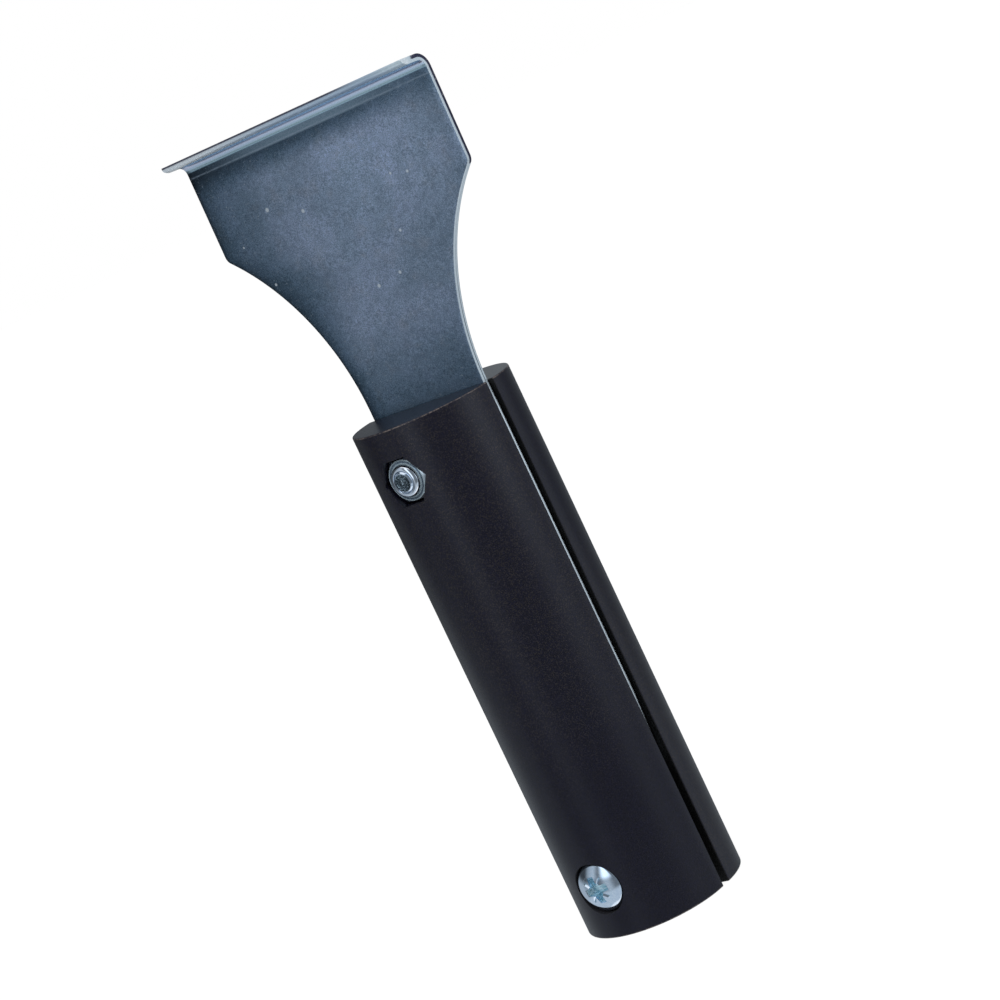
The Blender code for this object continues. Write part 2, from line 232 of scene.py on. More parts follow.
def make_world():
    """A soft pale world. The camera and gloss see it plain white, gloss only above and below the tent."""
    world = bpy.data.worlds.new("studio")
    scene.world = world
    world.use_nodes = True
    tree = world.node_tree
    tree.nodes.clear()
    out = tree.nodes.new("ShaderNodeOutputWorld")
    seen = tree.nodes.new("ShaderNodeBackground")
    seen.inputs["Color"].default_value = (1, 1, 1, 1)
    seen.inputs["Strength"].default_value = 1.0
    soft = tree.nodes.new("ShaderNodeBackground")
    soft.inputs["Color"].default_value = (0.96, 0.98, 1, 1)
    soft.inputs["Strength"].default_value = 0.55
    path = tree.nodes.new("ShaderNodeLightPath")
    joined = path.outputs["Is Camera Ray"]
    for ray in ("Is Glossy Ray", "Is Transmission Ray"):
        node = tree.nodes.new("ShaderNodeMath")
        node.operation = "MAXIMUM"
        tree.links.new(joined, node.inputs[0])
        tree.links.new(path.outputs[ray], node.inputs[1])
        joined = node.outputs[0]
    mix = tree.nodes.new("ShaderNodeMixShader")
    tree.links.new(joined, mix.inputs[0])
    tree.links.new(soft.outputs[0], mix.inputs[1])
    tree.links.new(seen.outputs[0], mix.inputs[2])
    tree.links.new(mix.outputs[0], out.inputs["Surface"])


# The light of the tent's wall and of its lower part, and the panels on the wall. Each panel is: azimuth of
# its middle from -Y towards +X, half width and softness in degrees, the height in metres that it starts at,
# and its light. It reaches up to the tent's top, and a negative light makes it a dark flag.
WALL = 0.2
UNDERSIDE = 0.62
PANEL_START_SOFTNESS = 0.04
PANELS = (
    (0, 10, 9, -1.0, 0.3),
    (2, 12, 8, 0.06, 1.0),
    (98, 18, 16, -1.0, 0.34),
    (98, 14, 10, 0.03, 0.9),
    (140, 9, 6, -1.0, 0.6),
    (-40, 14, 8, 0.05, 0.36),
    (-50, 14, 8, -1.0, 0.3),
    (-50, 14, 8, 0.0, -0.3),
    (-62, 20, 8, 0.02, -0.14),
    (-90, 22, 10, -1.0, 0.3),
    (-90, 22, 10, 0.0, -0.3),
    (-120, 20, 12, -0.03, -0.16),
    (-135, 24, 14, -1.0, 0.12),
    (-150, 14, 6, 0.1, 0.22),
    (180, 30, 16, -1.0, 0.12),
    (176, 30, 16, -0.03, -0.12),
    (164, 8, 8, -0.03, -0.08),
)


def make_tent():
    """A ring round the tool that only gloss sees: dim, bright low down, with soft boxes and dark flags."""
    steps, rows = 72, 16
    radius, low, high = 0.35, -0.45, 0.6
    shape = bmesh.new()
    grid = []
    for i in range(steps):
        angle = 2 * math.pi * i / steps
        x, y = radius * math.sin(angle), -radius * math.cos(angle)
        grid.append([shape.verts.new((x, y, low + (high - low) * j / rows)) for j in range(rows + 1)])
    for i in range(steps):
        near, far = grid[i], grid[(i + 1) % steps]
        for j in range(rows):
            shape.faces.new((near[j], far[j], far[j + 1], near[j + 1]))
    mesh = bpy.data.meshes.new("tent")
    shape.to_mesh(mesh)
    shape.free()
    tent = bpy.data.objects.new("tent", mesh)
    scene.collection.objects.link(tent)

    s = Shader("tent_glow")
    s.tree.nodes.remove(s.bsdf)
    x, y, z = s.xyz()
    turn = s.math("DEGREES", s.math("ARCTAN2", x, s.times(y, -1.0)))
    level = WALL
    for azimuth, half, soft, start, light in PANELS:
        off = s.math("ABSOLUTE", s.math("WRAP", s.math("SUBTRACT", turn, azimuth), 180.0, -180.0))
        across = s.span(off, half - soft, half + soft, light, 0.0)
        upward = s.span(z, start - PANEL_START_SOFTNESS, start + PANEL_START_SOFTNESS)
        level = s.math("ADD", level, s.times(across, upward))
    level = s.math("MAXIMUM", level, s.span(z, -0.17, -0.05, UNDERSIDE, 0.0))
    emission = s.add("ShaderNodeEmission")
    emission.inputs["Color"].default_value = (0.83, 0.92, 1.0, 1.0)
    s.put(emission.inputs["Strength"], level)
    out = s.tree.nodes["Material Output"]
    s.tree.links.new(emission.outputs[0], out.inputs["Surface"])
    mesh.materials.append(s.material)
    tent.visible_camera = False
    tent.visible_diffuse = False
    tent.visible_shadow = False
    tent.visible_transmission = False


def make_lamp(name, place, size, power):
    """A square lamp that faces the middle of the tool."""
    data = bpy.data.lights.new(name, "AREA")
    data.shape = "SQUARE"
    data.size = size
    data.energy = power
    lamp = bpy.data.objects.new(name, data)
    scene.collection.objects.link(lamp)
    direction = Vector((0, 0, 0.08)) - Vector(place)
    lamp.location = place
    lamp.rotation_euler = direction.to_track_quat("-Z", "Y").to_euler()
    lamp.visible_camera = False


def make_floor():
    """A pale floor that reflections don't show."""
    mesh = bpy.data.meshes.new("floor")
    shape = bmesh.new()
    bmesh.ops.create_circle(shape, cap_ends=True, segments=64, radius=4.0)
    shape.to_mesh(mesh)
    shape.free()
    floor = bpy.data.objects.new("floor", mesh)
    scene.collection.objects.link(floor)
    floor.visible_glossy = False
    shader = Shader("pale_floor")
    shader.set(Base_Color=(0.9, 0.9, 0.9, 1), Roughness=0.9)
    # To the camera most of the floor's white is its own, and the rest still takes the shadow.
    emission = shader.add("ShaderNodeEmission")
    emission.inputs["Strength"].default_value = 1.15
    mix = shader.add("ShaderNodeMixShader")
    path = shader.add("ShaderNodeLightPath")
    share = shader.times(path.outputs["Is Camera Ray"], 0.8)
    shader.tree.links.new(share, mix.inputs[0])
    shader.tree.links.new(shader.bsdf.outputs[0], mix.inputs[1])
    shader.tree.links.new(emission.outputs[0], mix.inputs[2])
    out = shader.tree.nodes["Material Output"]
    shader.tree.links.new(mix.outputs[0], out.inputs["Surface"])
    mesh.materials.append(shader.material)


def finish_mesh(name, shape, sharp=35):
    """Makes an object of a bmesh, smooth but for edges sharper than an angle in degrees."""
    bmesh.ops.recalc_face_normals(shape, faces=shape.faces)
    mesh = bpy.data.meshes.new(name)
    shape.to_mesh(mesh)
    shape.free()
    mesh.shade_smooth()
    mesh.set_sharp_from_angle(angle=math.radians(sharp))
    obj = bpy.data.objects.new(name, mesh)
    scene.collection.objects.link(obj)
    return obj


def join_rings(shape, rings, closed=False):
    """Quads between closed rings of vertices, with flat caps unless the rings close on themselves."""
    pairs = zip(rings, rings[1:] + rings[:1]) if closed else zip(rings, rings[1:])
    for low, high in pairs:
        count = len(low)
        for j in range(count):
            k = (j + 1) % count
            shape.faces.new((low[j], low[k], high[k], high[j]))
    if not closed:
        shape.faces.new(list(reversed(rings[0])))
        shape.faces.new(rings[-1])


def stack(name, rings, sharp=35):
    """A solid through closed rings of points in millimetres."""
    shape = bmesh.new()
    join_rings(shape, [[shape.verts.new(Vector(p) * MM) for p in ring] for ring in rings])
    return finish_mesh(name, shape, sharp)


def circle(radius, count, height=None):
    """Points on a circle about Z: (x, y), or (x, y, height) where a height is given."""
    points = []
    for i in range(count):
        angle = 2 * math.pi * i / count
        point = (radius * math.cos(angle), radius * math.sin(angle))
        points.append(point if height is None else (*point, height))
    return points


def prism(name, points, low, high):
    """A closed outline of (x, y) points raised from low to high."""
    return stack(name, [[(x, y, z) for x, y in points] for z in (low, high)])


def combine(obj, tools, operation="DIFFERENCE"):
    """Cuts obj by each tool, or keeps what they share, then removes the tools."""
    for tool in tools:
        modifier = obj.modifiers.new(tool.name, "BOOLEAN")
        modifier.operation = operation
        modifier.solver = "EXACT"
        modifier.object = tool
        modifier.material_mode = "TRANSFER"
    bpy.context.view_layer.update()
    evaluated = obj.evaluated_get(bpy.context.evaluated_depsgraph_get())
    mesh = bpy.data.meshes.new_from_object(evaluated)
    obj.modifiers.clear()
    obj.data = mesh
    for tool in tools:
        bpy.data.objects.remove(tool, do_unlink=True)
    return obj


def shade(obj, sharp=30):
    obj.data.shade_smooth()
    obj.data.set_sharp_from_angle(angle=math.radians(sharp))
    return obj


def to_front(seat, height):
    """Places a fastener modelled along +Z so that +Z points to -Y."""
    return Matrix.Translation((0, -seat * MM, height * MM)) @ Matrix.Rotation(math.pi / 2, 4, "X")


def to_rear(seat, height):
    """Places a fastener modelled along +Z so that +Z points to +Y."""
    return Matrix.Translation((0, seat * MM, height * MM)) @ Matrix.Rotation(-math.pi / 2, 4, "X")


# The blade: a grid in the flat pattern of the sheet, bent into its side view.
SWEEP = math.acos(1 - (WIDTH - TANG) / 2 / NECK_RADIUS)
SHOULDER = HANDLE + NECK_RISE + NECK_RADIUS * math.sin(SWEEP)
ROOT = SHOULDER + HEAD_HEIGHT
FLAT = Vector((math.sin(LEAN), math.cos(LEAN)))
FORWARD = Vector((-math.cos(LIP_RISE), math.sin(LIP_RISE)))
ARC_ANGLE = math.pi / 2 - LIP_RISE + LEAN
ARC = BEND * ARC_ANGLE
ROOT_ALONG = HANDLE + (ROOT - HANDLE) / FLAT.y
TIP_ALONG = ROOT_ALONG + ARC + LIP_REACH
NOSE_FROM = ARC + LIP_REACH - LIP_BEVEL


def bent(along, depth):
    """(y, z) of a point of the sheet: along the inner face from the butt, depth behind that face."""
    front = -SHEET / 2
    if along <= HANDLE:
        return Vector((front + depth, along))
    back = Vector((FLAT.y, -FLAT.x))
    if along <= ROOT_ALONG:
        return Vector((front, HANDLE)) + FLAT * (along - HANDLE) + back * depth
    root = Vector((front, HANDLE)) + FLAT * (ROOT_ALONG - HANDLE)
    center = root - back * BEND
    start = math.atan2(back.y, back.x)
    turned = min((along - ROOT_ALONG) / BEND, ARC_ANGLE)
    out = Vector((math.cos(start + turned), math.sin(start + turned)))
    point = center + out * (BEND + depth)
    return point + FORWARD * max(along - ROOT_ALONG - ARC, 0)


def half_width(along):
    """Half the width of the blade at a height above the handle."""
    if along >= SHOULDER:
        return WIDTH / 2
    rise = max(along - HANDLE - NECK_RISE, 0.0)
    return TANG / 2 + NECK_RADIUS - math.sqrt(NECK_RADIUS ** 2 - rise ** 2)


def outline():
    """The right half of the flat pattern as (x, along, normal x, normal along), from tail to tip."""
    tail, corner = TAIL / 2, TAIL_CORNER
    points = []
    for i in range(9):
        angle = -math.pi / 2 + math.pi / 2 * i / 8
        points.append((
            tail - corner + corner * math.cos(angle),
            TAIL_FROM + corner + corner * math.sin(angle),
        ))
    # From 20 mm up the tail widens to the tang.
    points += [(tail, 12.0), (tail, 20.0), (TANG / 2 - 0.8, 26.0), (TANG / 2 - 0.56, 29.0)]
    for z in range(30, int(HANDLE), 3):
        points.append((TANG / 2 - 0.5 * (1 - smooth(28, 42, z)), float(z)))
    center = (TANG / 2 + NECK_RADIUS, HANDLE + NECK_RISE)
    necks = 40
    ease = 0.9
    for i in range(necks + 1):
        angle = math.pi - SWEEP * i / necks
        points.append((center[0] + NECK_RADIUS * math.cos(angle), center[1] + NECK_RADIUS * math.sin(angle)))
    last = Vector(points.pop())
    along = (last - Vector(points[-1])).normalized()
    before, after = last - along * ease, last + Vector((0, ease))
    while (Vector(points[-1]) - last).length < ease + 0.1:
        points.pop()
    for i in range(9):
        t = i / 8
        points.append(tuple(before.lerp(last, t).lerp(last.lerp(after, t), t)))
    half = WIDTH / 2
    rows = [SHOULDER + ease + 0.6 + (ROOT_ALONG - SHOULDER - ease - 0.8) * i / 14 for i in range(15)]
    rows += [ROOT_ALONG + ARC * i / 16 for i in range(17)]
    flat_end = TIP_ALONG - LIP_BEVEL
    rows += [ROOT_ALONG + ARC + (flat_end - ROOT_ALONG - ARC) * i / 4 for i in (1, 2, 3)]
    rows += [flat_end - 0.12, flat_end, flat_end + 0.12]
    rows += [flat_end + LIP_BEVEL * math.sin(math.pi / 2 * i / 12) for i in range(2, 9)]
    points += [(half, row) for row in rows]
    points += [(half - 0.02, TIP_ALONG - 0.12), (half - 0.12, TIP_ALONG - 0.03), (half - 0.3, TIP_ALONG)]
    result = []
    for i, (x, z) in enumerate(points):
        a = Vector(points[max(i - 1, 0)])
        b = Vector(points[min(i + 1, len(points) - 1)])
        way = (b - a).normalized()
        result.append((x, z, way.y, -way.x))
    return result


def painted_blade_shade(x, along):
    """Painted shade: how light the sheet is drawn, dimmer in the handle, at its sides and its upper left, by
    the lip and low down.
    """
    if along < HANDLE:
        return 0.3
    left = x + half_width(along)
    wide = 6.0 + 18.0 * smooth(112, 134, along)
    painted_shade = 0.21 + 0.79 * math.sin(math.pi / 2 * min(max(left, 0.0) / wide, 1.0))
    painted_shade *= (1 - 0.15 * smooth(-5, 25, x)) * (1 - 0.2 * smooth(24, 31, x))
    low = (0.5 + 0.12 * smooth(104, 110, along) + 0.25 * smooth(108, 122, along)
           + 0.2 * smooth(128, 145, along))
    painted_shade *= 1 - 0.2 * smooth(134, 142, along) * smooth(-29, -20, x) * (1 - smooth(-5, 6, x))
    under = 0.72 - 0.3 * smooth(5, 31, x)
    return painted_shade * low * (1 - under * (1 - smooth(0.8, 6.8, ROOT_ALONG - along)))


# The sheet's rim: each pair is how far in from the outline and how deep behind the front face.
RIM = (
    (0.05, 0.0), (0.03, 0.008), (0.015, 0.02), (0.005, 0.04), (0.0, 0.08),
    (0.0, 0.22), (0.0, 0.4), (0.0, 0.54), (0.0, 0.62), (0.0, 0.7),
    (0.0, 0.82), (0.0, 1.0), (0.0, 1.2), (0.02, 1.235), (0.06, 1.25),
)
# The depths on the rim where its rough part starts and where the necks' dark line ends.
BROKEN_FROM = 0.6
GROOVE_TO = 0.75
# What the rear face has instead of a way past the bend.
OFF_LIP = -50.0


def make_blade():
    """The sheet, with what its material reads at each vertex.

    tone is the painted shade that sets how light the face is drawn, edge is 1 on the rim, broken is the rough
    rear part of the head's right rim, groove is the dark line along the necks' rims, and lip is how far past
    the bend's root the vertex lies, in millimetres.
    """
    columns = 56
    shape = bmesh.new()
    layers = {
        name: shape.verts.layers.float.new(name) for name in ("painted_shade", "edge", "groove", "broken", "lip")
    }

    def vertex(px, pz, depth, side, thin, at_tip):
        """A vertex at px, pz in the flat pattern. side is 1 on the right rim, -1 on the left, 0 on a face."""
        rim = smooth(0.0, 0.06, depth) if side else 0.0
        px += side * SHEAR * (depth - SHEET) * smooth(26, 36, pz) * smooth(HANDLE + 1, HANDLE - 4, pz)
        y, z = bent(min(pz, TIP_ALONG), thin + (SHEET - thin) * depth / SHEET)
        vert = shape.verts.new((px * MM, y * MM, z * MM))
        vert[layers["painted_shade"]] = painted_blade_shade(px, pz)
        vert[layers["edge"]] = rim
        on_head = SHOULDER - 0.5 < pz < ROOT_ALONG + ARC + 1.2
        vert[layers["broken"]] = float(on_head and depth > BROKEN_FROM and rim > 0.5 and side > 0)
        scored = HANDLE < pz < SHOULDER - 0.5 and side != 0 and BROKEN_FROM < depth < GROOVE_TO
        vert[layers["groove"]] = (0.25 + 0.75 * smooth(SHOULDER - 8, HANDLE + 6, pz)) * float(scored)
        on_lip = depth < 0.5 or rim > 0.5 or at_tip
        vert[layers["lip"]] = pz - ROOT_ALONG if on_lip else OFF_LIP
        return vert

    rings = []
    front, back = RIM[0][0], RIM[-1][0]
    for x, along, nx, nz in outline():
        places = []
        for j in range(columns + 1):
            places.append(((x - front * nx) * (2 * j / columns - 1), along - front * nz, 0.0, 0))
        for inset, depth in RIM[1:]:
            places.append((x - inset * nx, along - inset * nz, depth, 1))
        for j in range(1, columns + 1):
            places.append(((x - back * nx) * (1 - 2 * j / columns), along - back * nz, SHEET, 0))
        for inset, depth in reversed(RIM[1:-1]):
            places.append((-(x - inset * nx), along - inset * nz, depth, -1))
        nose = min(max(along - (TIP_ALONG - LIP_BEVEL), 0) / LIP_BEVEL, 1.0)
        thin = (SHEET - LIP_EDGE) * (1 - math.sqrt(1 - nose ** 2))
        rings.append([vertex(*place, thin, along > TIP_ALONG - 0.01) for place in places])
    join_rings(shape, rings)
    blade = finish_mesh("blade_sheet", shape)
    holes = []
    for height in (LOWER_Z, UPPER_Z):
        hole = prism("hole", circle(SCREW_HOLE, HOLE_STEPS), -3, 3)
        hole.matrix_world = to_front(0, height)
        holes.append(hole)
    return shade(combine(blade, holes), 35)


def half_round_offset(point):
    """The shortest way to a point from the half round less its eased edges, in millimetres."""
    reach = RADIUS - EDGE
    x, y, z = point.x, point.y + SLOT, point.z
    near_z = min(max(z, EDGE), HANDLE - EDGE)
    if y > -EDGE:
        wide = math.sqrt(reach ** 2 - EDGE ** 2)
        near_x, near_y = min(max(x, -wide), wide), -EDGE
    else:
        scale = min(reach / math.hypot(x, y), 1.0)
        near_x, near_y = x * scale, y * scale
    return Vector((x - near_x, y - near_y, z - near_z))


def half_section(inset):
    """The half round's outline, brought in by inset, as (x, y) points."""
    reach = RADIUS - EDGE
    wide = math.sqrt(reach ** 2 - EDGE ** 2)
    lean = math.asin(EDGE / reach)
    arc_steps, ease_steps, face_steps = 144, 5, 24
    points = []
    for i in range(arc_steps + 1):
        angle = math.pi + lean + (math.pi - 2 * lean) * i / arc_steps
        points.append(((RADIUS - inset) * math.cos(angle), (RADIUS - inset) * math.sin(angle) - SLOT))
    ease = EDGE - inset
    for i in range(1, ease_steps + 1):
        angle = -lean + (math.pi / 2 + lean) * i / ease_steps
        points.append((wide + ease * math.cos(angle), -SLOT - EDGE + ease * math.sin(angle)))
    for i in range(1, face_steps):
        points.append((wide - 2 * wide * i / face_steps, -SLOT - inset))
    for i in range(ease_steps):
        angle = math.pi / 2 + (math.pi / 2 + lean) * i / ease_steps
        points.append((-wide + ease * math.cos(angle), -SLOT - EDGE + ease * math.sin(angle)))
    return points


def make_half(name):
    """A half round with eased edges, a nut pocket and a counterbore, placed as the front half."""
    turns, rows = 5, 40
    ends = []
    for i in range(turns + 1):
        t = math.pi / 2 * i / turns
        inset = min(EDGE * (1 - math.sin(t)), EDGE * 0.99)
        ends.append([(x, y, EDGE * (1 - math.cos(t))) for x, y in half_section(inset)])
    rings = list(ends)
    for i in range(1, rows):
        rings.append([(x, y, EDGE + (HANDLE - 2 * EDGE) * i / rows) for x, y in half_section(0.0)])
    for ring in reversed(ends):
        rings.append([(x, y, HANDLE - z) for x, y, z in ring])
    half = stack(name, rings)

    outer = SLOT + RADIUS
    cuts = (
        (circle(POCKET / math.cos(math.pi / 6), 6), UPPER_Z, outer - POCKET_DEPTH, outer + 3),
        (circle(BORE, TURNED_STEPS), LOWER_Z, outer - BORE_DEPTH, outer + 3),
        (circle(SCREW_HOLE, HOLE_STEPS), UPPER_Z, -1, outer),
        (circle(SCREW_HOLE, HOLE_STEPS), LOWER_Z, -1, outer),
    )
    tools = []
    for points, height, low, high in cuts:
        tool = prism("seat", points, low, high)
        tool.matrix_world = to_front(0, height)
        tools.append(tool)
    smooth_normals(shade(combine(half, tools)).data)
    return half


def smooth_normals(mesh):
    """Gives a half the normals of its true round faces, eased edges, holes and flats."""
    given = []
    for polygon in mesh.polygons:
        flat = polygon.normal
        for index in polygon.loop_indices:
            point = mesh.vertices[mesh.loops[index].vertex_index].co / MM
            out = half_round_offset(point)
            side = Vector((point.x, 0, point.z - (LOWER_Z if point.z < HANDLE / 2 else UPPER_Z)))
            off_wall = min(abs(side.length - BORE), abs(side.length - SCREW_HOLE))
            if abs(out.length - EDGE) < 0.03 and out.normalized().dot(flat) > 0.93:
                given.append(out.normalized())
            elif abs(flat.y) < 0.1 and off_wall < 0.02:
                given.append(-side.normalized())
            else:
                given.append(flat.copy())
    mesh.normals_split_custom_set(given)


def lathe(name, profile, closed=False):
    """A solid turned about Z from (radius, height) points. An open profile is capped with flat discs."""
    shape = bmesh.new()
    rings = []
    for radius, height in profile:
        rings.append([shape.verts.new(Vector(p) * MM) for p in circle(radius, TURNED_STEPS, height)])
    join_rings(shape, rings, closed)
    return finish_mesh(name, shape, 30)


def dome(radius):
    """Height of the screw head's crown at a radius."""
    return HEAD_HIGH - CROWN + math.sqrt(CROWN ** 2 - radius ** 2)


def recess_outline(reach, width, core):
    """The cross recess seen from above, its inner corners cut back by the square core."""
    half = width / 2
    quarter = [(reach, -half), (reach + 0.06, 0.0), (reach, half), (core, half + 0.04), (half + 0.04, core)]
    points = []
    for turn in range(4):
        for x, y in quarter:
            for _ in range(turn):
                x, y = -y, x
            points.append((x, y))
    return points


def screw_profile():
    """The screw from the middle of its crown to its turned end, as (radius, height) points."""
    turn = math.asin((HEAD_RADIUS - HEAD_CORNER) / CROWN)
    steps = 20
    profile = []
    for i in range(1, steps + 1):
        angle = turn * i / steps
        profile.append((CROWN * math.sin(angle), HEAD_HIGH - CROWN + CROWN * math.cos(angle)))
    start = Vector(profile[-1])
    corner = Vector((HEAD_RADIUS, start.y - HEAD_CORNER * math.tan(turn)))
    below = Vector((HEAD_RADIUS, corner.y - HEAD_CORNER))
    for i in range(1, 9):
        t = i / 8
        profile.append(tuple(start.lerp(corner, t).lerp(corner.lerp(below, t), t)))
    profile += [(HEAD_RADIUS, 0.12), (HEAD_RADIUS - 0.12, 0), (THREAD, 0)]
    # Rings stand in for the thread, down to where the core starts inside the nut.
    core_from = -(HEAD_SEAT + NUT_SEAT - SEAT_GAP)
    pitch = 0.8
    z = -1.2
    while z > core_from + 1.2:
        profile += [(THREAD, z), (2.42, z - 0.1), (2.2, z - 0.36), (2.2, z - 0.44), (2.42, z - 0.7)]
        z -= pitch
    profile += [(THREAD, core_from + THREAD_DEPTH), (CORE, core_from)]
    tip = [
        (CORE, 0.35), (CORE - 0.06, 0.24), (CORE - 0.3, 0.02), (CORE - 0.38, 0), (1.45, 0), (1.35, 0.05),
        (0.75, 0.08), (0.6, 0.03), (0.42, 0.03), (0.3, 0.12), (0.05, 0.14),
    ]
    return profile + [(radius, rise - SCREW_LENGTH) for radius, rise in tip]


# The ticks on the screw's head: each pair is a distance from its middle and half the tick's width there.
TICK = ((1.2, 0.14), (1.45, 0.28), (2.55, 0.34), (2.95, 0.04))


def make_screw(name):
    """A pan-head screw along +Z, its seat at z = 0, with a cross recess and four ticks between its arms."""
    screw = lathe(name, screw_profile())
    recess_turn, depth = 8, 1.8
    top = HEAD_HIGH + 0.6
    wide = recess_outline(2.9, 1.45, 1.45)
    narrow = recess_outline(1.7, 1.1, 0.8)
    grow = (top - (HEAD_HIGH - depth)) / depth
    above = [(n[0] + (w[0] - n[0]) * grow, n[1] + (w[1] - n[1]) * grow) for n, w in zip(narrow, wide)]
    rings = [[(x, y, HEAD_HIGH - depth) for x, y in narrow], [(x, y, top) for x, y in above]]
    recess = stack("recess", rings, 20)
    recess.matrix_world = Matrix.Rotation(math.radians(recess_turn), 4, "Z")
    tools = [recess]
    for i in range(4):
        rings = []
        for r, half in TICK:
            high = dome(r)
            rings.append([
                (r, 0, high - half), (r, half, high + 0.03), (r, half, high + 0.5),
                (r, -half, high + 0.5), (r, -half, high + 0.03),
            ])
        tick = stack("tick", rings, 20)
        tick.matrix_world = Matrix.Rotation(math.radians(recess_turn + 45 + 90 * i), 4, "Z")
        tools.append(tick)
    return shade(combine(screw, tools), 24)


def make_nut(name):
    """A lock nut along +Z, its seat at z = 0: turned with a domed collar, then cut to a hexagon."""
    corner = NUT_FLAT / math.cos(math.pi / 6)
    profile = [(3.7, 0), (3.9, 0.05), (corner + 0.02, 0.4), (corner + 0.02, 3.47), (3.91, 3.86), (3.81, 3.9)]
    profile += [(3.3, 3.88), (3.18, 3.9), (3.1, 3.98), (3.08, 4.1)]
    for i in range(1, 11):
        angle = math.pi / 2 * i / 10
        profile.append((2.2 + 0.88 * math.cos(angle), 4.1 + 0.85 * math.sin(angle)))
    profile += [(2.12, 4.85), (2.12, 4.4), (NUT_BORE, 4.2), (NUT_BORE, 0.3), (NUT_BORE + 0.3, 0)]
    nut = lathe(name, profile, closed=True)
    hexagon = prism("hexagon", circle(corner, 6), -1, 7)
    return shade(combine(nut, [hexagon], "INTERSECT"), 24)


# Pale specks on the blade's face, as (x, height, radius) in millimetres.
SPECKS = (
    (-16.7, 145.4, 0.5), (-8.7, 142.7, 0.45), (14.0, 142.8, 0.3), (17.8, 142.0, 0.35), (10.7, 132.9, 0.35),
    (6.6, 126.0, 0.4), (0.7, 125.1, 0.45), (-22.4, 132.2, 0.35), (-26.0, 140.7, 0.25),
)


